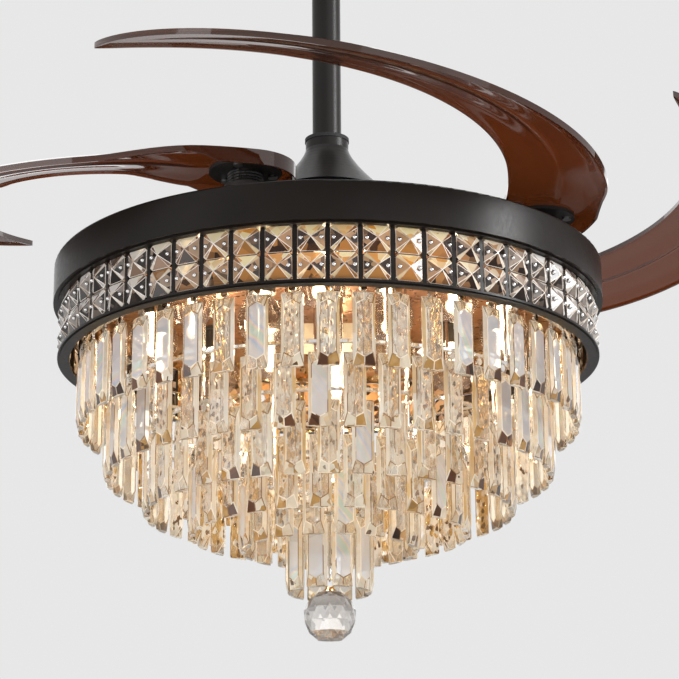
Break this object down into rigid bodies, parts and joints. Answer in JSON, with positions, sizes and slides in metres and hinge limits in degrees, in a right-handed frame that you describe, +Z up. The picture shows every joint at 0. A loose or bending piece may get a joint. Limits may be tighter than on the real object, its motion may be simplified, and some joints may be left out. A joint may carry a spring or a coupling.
{
  "type": "retractable blade ceiling fan",
  "caption": "Ceiling fan whose sickle blades fold in over a drum, with a square-crystal band and stepped tiers of hanging prisms below.",
  "frame": {"origin": "on the ceiling, midway between the hanger bracket's two ceiling screws", "axes": "+Z up, along the downrod; +X through the two ceiling screws; the picture looks along +Y"},
  "size_m": [0.7906, 0.7906, 0.7181],
  "materials": {
    "black_metal": "satin charcoal paint",
    "zinc_steel": "zinc plated",
    "spring_steel": "bright wire",
    "cast_alloy": "cast",
    "black_plastic": "moulded",
    "rubber": "matt",
    "rotor_black": "satin black paint",
    "laminations": "stacked sheet",
    "magnet": "sintered",
    "copper_wire": "enamelled wire",
    "gear_nylon": "moulded",
    "blade_plastic": "translucent brown, polished",
    "bronze_plate": "dark bronze",
    "white_plastic": "moulded",
    "bulb_glass": "clear",
    "bulb_glow": "lit, warm white",
    "crystal": "cut and polished",
    "chrome": "polished",
    "gold_metal": "polished"
  },
  "bodies": {
    "ceiling": {"ceiling_bracket": "zinc_steel", "canopy": "black_metal", "canopy_screws": "black_metal"},
    "hanger": {"hanger_ball": "black_plastic", "ball_pin": "zinc_steel", "downrod": "black_metal", "coupling": "cast_alloy", "coupling_pin": "zinc_steel", "set_screws": "zinc_steel", "coupling_cover": "black_metal", "cover_ring": "rubber", "motor_shaft": "zinc_steel", "shaft_nuts": "zinc_steel", "upper_bearing": "zinc_steel", "lower_bearing": "zinc_steel", "stator_core": "laminations", "stator_windings": "copper_wire", "deck_plate": "rotor_black", "drum_shade": "black_metal", "light_plate": "bronze_plate", "driver_box": "white_plastic", "bulb_sockets": "black_plastic", "bulb_globes": "bulb_glass", "bulb_cores": "bulb_glow", "band_frame": "black_metal", "band_slats": "black_metal", "band_crystals": "crystal", "tier_frames": "chrome", "tier_rods": "chrome", "prism_hooks": "chrome", "prisms_1": "crystal", "prisms_2": "crystal", "prisms_3": "crystal", "prisms_4": "crystal", "prisms_5": "crystal", "prisms_6": "crystal", "ball_hanger": "chrome"},
    "rotor": {"rotor_plate": "rotor_black", "rotor_shell": "rotor_black", "magnet_ring": "magnet", "rotor_screws": "zinc_steel", "ring_retainer": "zinc_steel", "pivot_pins": "zinc_steel", "pivot_caps": "zinc_steel", "return_springs": "spring_steel"},
    "sync": {"sync_ring": "gear_nylon"},
    "wing_1": {"blade_1": "blade_plastic", "blade_holder_1": "gear_nylon", "blade_screws_1": "zinc_steel"},
    "wing_2": {"blade_2": "blade_plastic", "blade_holder_2": "gear_nylon", "blade_screws_2": "zinc_steel"},
    "wing_3": {"blade_3": "blade_plastic", "blade_holder_3": "gear_nylon", "blade_screws_3": "zinc_steel"},
    "wing_4": {"blade_4": "blade_plastic", "blade_holder_4": "gear_nylon", "blade_screws_4": "zinc_steel"},
    "drop": {"ball_cap": "gold_metal", "crystal_ball": "crystal"}
  },
  "joints": [
    {"name": "hanger_swing", "type": "hinge", "parent": "ceiling", "child": "hanger", "pos_m": [0, 0, -0.036], "axis": [1, 0, 0], "range_deg": [-4, 4]},
    {"name": "rotor_spin", "type": "hinge", "parent": "hanger", "child": "rotor", "pos_m": [0, 0, -0.368], "axis": [0, 0, 1], "continuous": true},
    {"name": "ring_turn", "type": "hinge", "parent": "rotor", "child": "sync", "pos_m": [0, 0, -0.368], "axis": [0, 0, 1], "range_deg": [-15.6, 12.7]},
    {"name": "blade_1_fold", "type": "hinge", "parent": "rotor", "child": "wing_1", "pos_m": [0.19029, -0.06926, -0.368], "axis": [0, 0, 1], "range_deg": [-47, 58]},
    {"name": "blade_2_fold", "type": "hinge", "parent": "rotor", "child": "wing_2", "pos_m": [-0.06926, -0.19029, -0.368], "axis": [0, 0, 1], "range_deg": [-47.2, 58.2]},
    {"name": "blade_3_fold", "type": "hinge", "parent": "rotor", "child": "wing_3", "pos_m": [-0.19029, 0.06926, -0.368], "axis": [0, 0, 1], "range_deg": [-47.2, 58.2]},
    {"name": "blade_4_fold", "type": "hinge", "parent": "rotor", "child": "wing_4", "pos_m": [0.06926, 0.19029, -0.368], "axis": [0, 0, 1], "range_deg": [-47.2, 58.2]},
    {"name": "drop_swing", "type": "hinge", "parent": "hanger", "child": "drop", "pos_m": [0, 0, -0.6638], "axis": [0, 1, 0], "range_deg": [-8, 8]}
  ],
  "couplings": [
    {"joint": "blade_2_fold", "follows": "blade_1_fold", "ratio": 1},
    {"joint": "blade_3_fold", "follows": "blade_1_fold", "ratio": 1},
    {"joint": "blade_4_fold", "follows": "blade_1_fold", "ratio": 1},
    {"joint": "ring_turn", "follows": "blade_1_fold", "ratio": -0.26562}
  ]
}
